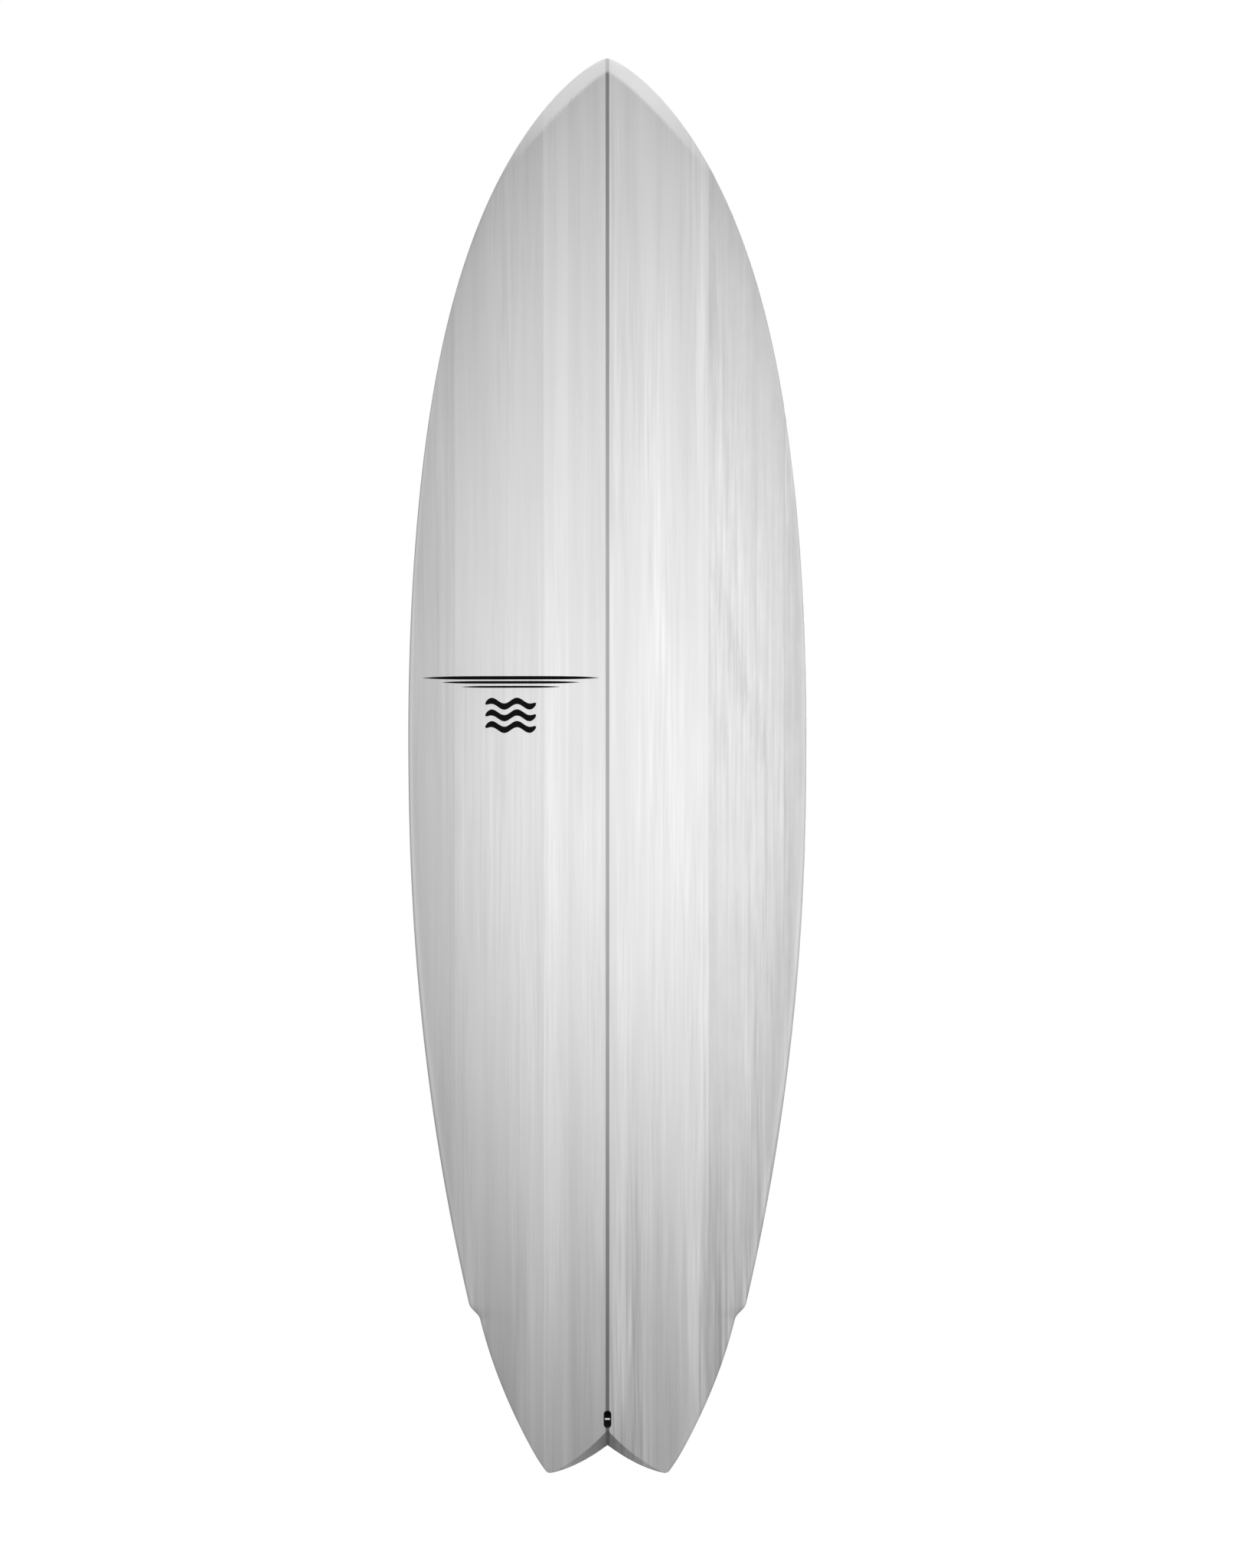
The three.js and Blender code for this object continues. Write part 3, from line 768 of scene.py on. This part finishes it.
FIN_BASE, FIN_DEPTH = 111 * MM, 115 * MM
TAB_LENGTH, TAB_DEPTH, TAB_WIDTH = 96 * MM, 14 * MM, 6 * MM
FIN_GAP = 0.4 * MM
BOX_LENGTH, BOX_WIDTH, BOX_DEPTH, SLOT_DEPTH = 136 * MM, 15 * MM, 18 * MM, 14.5 * MM
GAP = 0.3 * MM
SCREW_RADIUS, SCREW_LENGTH, SCREW_HOLE = 2.5 * MM, 9 * MM, 2.8 * MM
SCREW_SOCKET, SOCKET_DEPTH = 1.45 * MM, 3 * MM
SCREW_HEAD_Z = FIN_BASE / 2 + 5 * MM
SCREW_FOOT_Y = -(SCREW_HEAD_Z - TAB_LENGTH / 2 - GAP)
SIDE_FIN_STATION, SIDE_FIN_X = 340.5 * MM, 178 * MM
CANT, TOE = math.radians(6), math.radians(3)
CENTRE_FIN_STATION = 155.5 * MM


def fin_place(station, x=0.0, hand=0):
    """A fin's place: +Y is out of the bottom and +Z towards the nose along its base."""
    step = 1 * MM
    pitch = math.atan((rocker(station + step) - rocker(station - step)) / (2 * step))
    toe = Matrix.Rotation(-hand * TOE, 4, "Y")
    cant = Matrix.Rotation(-hand * CANT, 4, "Z")
    turn = Matrix.Rotation(pitch, 4, "X") @ toe @ cant
    height = float(bottom_y(station, x))
    return Matrix.Translation((x, height, station + TAIL_Z)) @ turn


FIN_PLACES = {
    "left": fin_place(SIDE_FIN_STATION, -SIDE_FIN_X, -1),
    "right": fin_place(SIDE_FIN_STATION, SIDE_FIN_X, 1),
    "centre": fin_place(CENTRE_FIN_STATION),
}


def stadium_ring(length, width, y, arc=20):
    """A stadium's outline in the XZ plane at a height y."""
    straight = (length - width) / 2
    angles = np.concatenate([np.linspace(0, math.pi, arc), np.linspace(math.pi, 2 * math.pi, arc)])
    shift = np.concatenate([np.full(arc, straight), np.full(arc, -straight)])
    return [(width / 2 * math.cos(a), y, width / 2 * math.sin(a) + d) for a, d in zip(angles, shift)]


def ring_loft(name, rings):
    """A closed mesh through rings of equal length, capped at both ends."""
    count = len(rings[0])
    faces = grid_faces(len(rings), count, wrap=True)
    last = count * (len(rings) - 1)
    faces += [tuple(range(count)), tuple(range(last + count - 1, last - 1, -1))]
    obj = mesh_object(name, [p for ring in rings for p in ring], faces)
    clean(obj)
    return obj


def prism(name, length, width, low, high):
    return ring_loft(name, [stadium_ring(length, width, y) for y in (low, high)])


def block(name, low, high):
    corners = [(low[0], low[2]), (high[0], low[2]), (high[0], high[2]), (low[0], high[2])]
    return ring_loft(name, [[(x, y, z) for x, z in corners] for y in (low[1], high[1])])


def screw_rod(name, end, radius, start, stop, sides):
    """A rod along a grub screw's axis, between two distances from the screw's foot."""
    angles = [2 * math.pi * k / sides for k in range(sides)]
    rings = [[(radius * math.cos(a), y, radius * math.sin(a)) for a in angles] for y in (start, stop)]
    obj = ring_loft(name, rings)
    foot = Matrix.Translation((0, SCREW_FOOT_Y, TAB_LENGTH / 2 + GAP))
    place = foot @ Matrix.Rotation(math.pi / 4, 4, "X")
    if end < 0:
        place = Matrix.Rotation(math.pi, 4, "Y") @ place
    obj.data.transform(place)
    return obj


def discard(*objects):
    """Removes the cutters once they have done their work."""
    for obj in objects:
        bpy.data.objects.remove(obj, do_unlink=True)


def put(obj, place):
    """Moves a piece made in its own coordinates to its place on the board."""
    obj.data.transform(place)
    mark_sharp(obj)


def fin_box(name, place, plastic):
    obj = prism(f"fin_box_{name}_fine", BOX_LENGTH, BOX_WIDTH, -BOX_DEPTH, 0)
    half = (TAB_WIDTH / 2 + GAP, TAB_LENGTH / 2 + GAP)
    tools = [block("slot", (-half[0], -SLOT_DEPTH, -half[1]), (half[0], 5 * MM, half[1]))]
    tools += [screw_rod("hole", end, SCREW_HOLE, -1 * MM, 24 * MM, 32) for end in (-1, 1)]
    cut(obj, tools)
    discard(*tools)
    soften(obj, 0.25 * MM, 2)
    put(obj, place)
    finish_piece(obj, "board", "black_plastic", plastic, f"fin_box_{name}")


def grub_screw(name, where, place, steel):
    end = 1 if where == "front" else -1
    start = SCREW_RADIUS + 2 * GAP
    stop = start + SCREW_LENGTH
    obj = screw_rod(f"grub_screw_{name}_{where}_fine", end, SCREW_RADIUS, start, stop, 32)
    socket = screw_rod("socket", end, SCREW_SOCKET, stop - SOCKET_DEPTH, stop + 1 * MM, 6)
    cut(obj, [socket])
    discard(socket)
    soften(obj, 0.2 * MM, 2)
    put(obj, place)
    finish_piece(obj, "board", "stainless_steel", steel, f"grub_screw_{name}_{where}")


def leading_edge(h):
    return FIN_BASE / 2 - 122 * MM * h**1.9


def trailing_edge(h):
    return -FIN_BASE / 2 + (70 * h * (1 - h) - 22.5 * h**3) * MM


def foil(c):
    """Half the thickness at a share of the chord, for a foil about 1 thick at its thickest."""
    return 0.5 * (2.969 * math.sqrt(c) - 1.26 * c - 3.516 * c**2 + 2.843 * c**3 - 1.015 * c**4)


def fin(name, place, laminate):
    """A foiled blade, flat inside on a side fin, and its tab."""
    flat_side = {"left": 1, "right": -1, "centre": 0}[name]
    heights = np.sin(np.linspace(0, math.pi / 2, 46))
    chord_shares = (1 - np.cos(np.linspace(0, math.pi, 33))) / 2
    rings = []
    for h in heights:
        front, back = leading_edge(h), trailing_edge(h)
        rounding = math.sqrt(max(0.0, 1 - max(0.0, (h - 0.93) / 0.07) ** 2))
        pivot = mix(back, front, 0.35)
        chord = (front - back) * rounding
        front, back = pivot + 0.65 * chord, pivot - 0.35 * chord
        thick = mix(4, 1.6, h) * MM * max(rounding, 0.25)
        ring = []
        for side in (1, -1):
            order = chord_shares if side == 1 else chord_shares[::-1]
            for c in order:
                bulge = 0.35 if side == flat_side else foil(c) * (1.25 if flat_side else 1)
                edge_ease = min(1.0, 0.25 + c * 14) if side == flat_side else 1.0
                x = side * max(0.35 * MM, thick * bulge * edge_ease)
                ring.append((x, max(h * FIN_DEPTH, FIN_GAP), front - c * (front - back)))
        rings.append(ring)
    blade = ring_loft(f"fin_{name}_fine", rings)
    half = (TAB_WIDTH / 2, TAB_LENGTH / 2)
    tab = block("tab", (-half[0], -TAB_DEPTH, -half[1]), (half[0], FIN_GAP + 0.3 * MM, half[1]))
    soften(tab, 0.6 * MM, 3)
    union = blade.modifiers.new("union", "BOOLEAN")
    union.object = tab
    union.operation = "UNION"
    union.solver = "EXACT"
    bake_modifiers(blade)
    discard(tab)
    put(blade, place)
    finish_piece(blade, f"{name}_fin", "fin_laminate", laminate, f"fin_{name}")


# ---------------------------------------------------------------- leash plug

PLUG_STATION = 74 * MM
PLUG_LENGTH, PLUG_WIDTH, PLUG_WALL, PLUG_DEPTH = 23.4 * MM, 10.2 * MM, 1.5 * MM, 15 * MM
BAR_RADIUS, BAR_DEPTH = 1.5 * MM, 3 * MM


def plug_place():
    """The leash plug's place: -Y is out of the deck."""
    step = 1 * MM
    slope = float(deck_y(PLUG_STATION + step, 0) - deck_y(PLUG_STATION - step, 0)) / (2 * step)
    height = float(deck_y(PLUG_STATION, 0))
    place = Matrix.Translation((0, height, PLUG_STATION + TAIL_Z))
    return place @ Matrix.Rotation(-math.atan(slope), 4, "X")


PLUG_PLACE = plug_place()


def leash_cup(plastic):
    """An open cup with rounded rims and a flat floor."""
    rim = 0.35 * MM
    angles = np.linspace(0.3, math.pi / 2, 4)
    edge = [(rim * (1 - math.cos(a)), rim * (1 - math.sin(a))) for a in angles]
    profile = [(0, PLUG_DEPTH), (0, rim)] + edge
    profile += [(PLUG_WALL - inward, depth) for inward, depth in reversed(edge)]
    profile += [(PLUG_WALL, rim), (PLUG_WALL, PLUG_DEPTH - PLUG_WALL)]
    rings = [stadium_ring(PLUG_LENGTH - 2 * d, PLUG_WIDTH - 2 * d, y, 24) for d, y in profile]
    obj = ring_loft("leash_plug_cup_fine", rings)
    hole = cross_rod("bar_hole", BAR_RADIUS + 0.05 * MM, PLUG_WIDTH + 10 * MM)
    cut(obj, [hole])
    discard(hole)
    put(obj, PLUG_PLACE)
    finish_piece(obj, "board", "black_plastic", plastic, "leash_plug_cup")


def cross_rod(name, radius, length):
    """A rod across the leash plug."""
    angles = [2 * math.pi * k / 40 for k in range(40)]
    circle = [(BAR_DEPTH + radius * math.cos(a), radius * math.sin(a)) for a in angles]
    return ring_loft(name, [[(x, y, z) for y, z in circle] for x in (-length / 2, length / 2)])


def leash_bar(steel):
    obj = cross_rod("leash_plug_bar_fine", BAR_RADIUS, PLUG_WIDTH - 2 * GAP)
    soften(obj, 0.2 * MM, 2)
    put(obj, PLUG_PLACE)
    finish_piece(obj, "board", "stainless_steel", steel, "leash_plug_bar")


# ---------------------------------------------------------------- printed marks

MARK_LIFT = 0.08 * MM
MARK_THICKNESS = 0.05 * MM


def printed_strip(name, centre_line, half_heights, ink):
    """A thin printed strip on the deck, along a line of (x, s) points."""
    rows = []
    for across_strip in (1, -1):
        stations = [s + across_strip * half for (_, s), half in zip(centre_line, half_heights)]
        rows.append([(x, float(deck_y(s, x)) - MARK_LIFT, s) for (x, _), s in zip(centre_line, stations)])
    grid = np.array(rows)
    obj = mesh_object(name, to_world(grid), grid_faces(*grid.shape[:2]))
    clean(obj, outward=(0, -1, 0))
    thicken(obj, MARK_THICKNESS)
    mark_sharp(obj)
    finish_piece(obj, "board", "black_plastic", ink)


def pinstripes(ink):
    """Three level pinstripes with pointed ends, each shorter and finer than the one above."""
    middle, half_length, half_height, s = -129 * MM, 118 * MM, 2.3 * MM, 1061 * MM
    for k in range(3):
        shares = np.linspace(-1, 1, 61)
        line = [(middle + half_length * share, s) for share in shares]
        printed_strip(f"mark_stripe_{k}", line, half_height * (1 - 0.97 * np.abs(shares) ** 5), ink)
        half_length -= 26 * MM
        half_height -= 0.5 * MM
        s -= 6 * MM


def wave_crests(ink):
    """Three stacked waves, a generic sea mark."""
    left, right, wave_length, height = -163 * MM, -95 * MM, 34 * MM, 3.8 * MM
    shares = np.linspace(0, 1, 91)
    xs = left + (right - left) * shares
    for k in range(3):
        s = (1026.5 - 15.5 * k) * MM
        line = [(x, s + height * math.sin((x - left) / wave_length * 2 * math.pi)) for x in xs]
        half_heights = 4.2 * MM * np.sqrt(1 - np.abs(2 * shares - 1) ** 9) + 0.05 * MM
        printed_strip(f"mark_wave_{k}", line, half_heights, ink)


# ---------------------------------------------------------------- light and camera

CAMERA_DISTANCE = 9.0
CAMERA_X, CAMERA_Z = 0.0240, -0.0203
PICTURE_HEIGHT = 2.1039  # what the picture's height covers at the board
SENSOR = 36.0
DOME = 0.12  # strength of the light from all around


def make_camera():
    data = bpy.data.cameras.new("camera")
    data.sensor_width = SENSOR
    data.lens = SENSOR * CAMERA_DISTANCE / PICTURE_HEIGHT
    camera = new_object("camera", data)
    camera.location = (CAMERA_X, -CAMERA_DISTANCE, CAMERA_Z)
    camera.rotation_euler = (math.pi / 2, 0, 0)
    bpy.context.scene.camera = camera


def area_light(name, location, target, size, power):
    data = bpy.data.lights.new(name, "AREA")
    data.shape = "RECTANGLE"
    data.size, data.size_y = size
    data.energy = power
    light = new_object(name, data)
    light.location = location
    light.rotation_mode = "QUATERNION"
    light.rotation_quaternion = (Vector(target) - Vector(location)).to_track_quat("-Z", "Y")
    light.visible_camera = False


def make_lights():
    """A soft light in front, lights at the edges and behind, and a white backdrop."""
    area_light("softbox", (0.165, -1.07, 0.05), (0.165, 0, 0.05), (1.16, 1.12), 12.45)
    area_light("top_light", (0.1, -0.45, 2.8), (0, -0.1, 0.85), (1.2, 0.6), 31)
    area_light("side_light_left", (-2.6, 0.15, -0.1), (0, 0, -0.1), (0.5, 2.0), 22)
    area_light("side_light_right", (2.6, 0.15, -0.1), (0, 0, -0.1), (0.5, 2.0), 23)
    area_light("tail_light", (0.1, -0.25, -3.1), (0, -0.08, -0.9), (1.2, 0.5), 18)
    area_light("back_light", (1.4, 3.2, 0.9), (0, 0, 0), (2.5, 2.5), 75)
    world = bpy.data.worlds.new("world")
    bpy.context.scene.world = world
    world.use_nodes = True
    tree = world.node_tree
    background = tree.nodes["Background"]
    background.inputs["Color"].default_value = (1, 1, 1, 1)
    seen = tree.nodes.new("ShaderNodeLightPath").outputs["Is Camera Ray"]
    tree.links.new(math_node(tree, "MULTIPLY_ADD", seen, 1.0 - DOME, DOME), background.inputs["Strength"])


# ---------------------------------------------------------------- the board

CUTTER_MARGIN = 0.2 * MM


def make_skins():
    plug_size = (PLUG_LENGTH + CUTTER_MARGIN, PLUG_WIDTH + CUTTER_MARGIN)
    plug_cutter = prism("plug_cutter", *plug_size, -12 * MM, PLUG_DEPTH + GAP)
    plug_cutter.data.transform(PLUG_PLACE)
    box_size = (BOX_LENGTH + CUTTER_MARGIN, BOX_WIDTH + CUTTER_MARGIN)
    box_cutters = {}
    for name, place in FIN_PLACES.items():
        cutter = prism(f"box_cutter_{name}", *box_size, -BOX_DEPTH - GAP, 12 * MM)
        cutter.data.transform(place)
        box_cutters[name] = cutter
    pale_strip = [(-LEFT_INNER_SEAM, -LEFT_INNER_SEAM + 33 * MM, 1.045)]
    pale_edge = [(RIGHT_INNER_SEAM - 16 * MM, RIGHT_INNER_SEAM, 1.05)]
    dark_edge = [(RIGHT_INNER_SEAM, RIGHT_INNER_SEAM + 12 * MM, 0.955)]
    left = [
        veneer("deck_veneer_1", 0.615, 1),
        veneer("deck_veneer_2", 0.645, 2),
        veneer("deck_veneer_3", 0.68, 3, 0.42, 0.30, pale_strip),
    ]
    right = [
        veneer("deck_veneer_4", 0.705, 4, 0.38, 0.40, pale_edge),
        veneer("deck_veneer_5", 0.635, 5, 0.28, 0.50, dark_edge, 0.20, streaked=True),
        veneer("deck_veneer_6", 0.625, 6, 0.24, 0.85, mottle=0.26),
    ]
    deck = [
        ("edge_left", LEFT_EDGE_SEAM, RAIL, -1, left[0], ()),
        ("middle_left", LEFT_INNER_SEAM, LEFT_EDGE_SEAM, -1, left[1], ()),
        ("inner_left", 0, LEFT_INNER_SEAM, -1, left[2], [plug_cutter]),
        ("inner_right", 0, RIGHT_INNER_SEAM, 1, right[0], [plug_cutter]),
        ("middle_right", RIGHT_INNER_SEAM, RIGHT_EDGE_SEAM, 1, right[1], ()),
        ("edge_right", RIGHT_EDGE_SEAM, RAIL, 1, right[2], ()),
    ]
    for name, near, far, hand, material, cutters in deck:
        plank(f"deck_plank_{name}", "deck", near, far, hand, material, cutters)
    bottom = [
        ("outer_left", BOTTOM_SEAM, RAIL, -1, 0.62, ["left"]),
        ("inner_left", 0, BOTTOM_SEAM, -1, 0.67, ["centre"]),
        ("inner_right", 0, BOTTOM_SEAM, 1, 0.66, ["centre"]),
        ("outer_right", BOTTOM_SEAM, RAIL, 1, 0.63, ["right"]),
    ]
    for seed, (name, near, far, hand, tone, boxes) in enumerate(bottom, start=11):
        material = veneer(f"bottom_veneer_{seed - 10}", tone, seed, fine=0.36)
        cutters = [box_cutters[box] for box in boxes]
        plank(f"bottom_plank_{name}", "bottom", near, far, hand, material, cutters)
    stringer(stringer_wood(), [plug_cutter, box_cutters["centre"]])
    discard(plug_cutter, *box_cutters.values())


def make_fittings():
    plastic = speckled("black_plastic", 0.006, 0.55, 0.3, (900, 900, 900), bump=0.15)
    steel = speckled("stainless_steel", 0.88, 0.40, 0.10, (300, 2500, 2500), metallic=1.0)
    laminate = woven_laminate()
    for name, place in FIN_PLACES.items():
        fin_box(name, place, plastic)
        fin(name, place, laminate)
        for where in ("front", "rear"):
            grub_screw(name, where, place, steel)
    leash_cup(plastic)
    leash_bar(speckled("brushed_steel", 0.96, 0.45, 0.04, (2500, 300, 2500), metallic=0.4))


def dress_core():
    """The foam keeps its CAD shape: it is seen only where a fitting is taken out."""
    foam = speckled("core_foam", 0.82, 0.9, 0.06, (700, 700, 700), bump=0.4)
    dense = speckled("dense_foam", 0.55, 0.85, 0.05, (900, 900, 900), bump=0.3)
    for side in ("left", "right"):
        for node, material in ((f"foam_core_{side}", foam), (f"fin_block_{side}", dense)):
            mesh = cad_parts[node].data
            mesh.materials.clear()
            mesh.materials.append(material)


def make_marks():
    ink = speckled("black_print", 0.004, 0.9, 0.2, (400, 400, 400))
    ink.node_tree.nodes["Principled BSDF"].inputs["Specular IOR Level"].default_value = 0.08
    pinstripes(ink)
    wave_crests(ink)


make_camera()
make_lights()
make_skins()
make_fittings()
dress_core()
make_marks()
bpy.context.scene.view_settings.view_transform = "Standard"
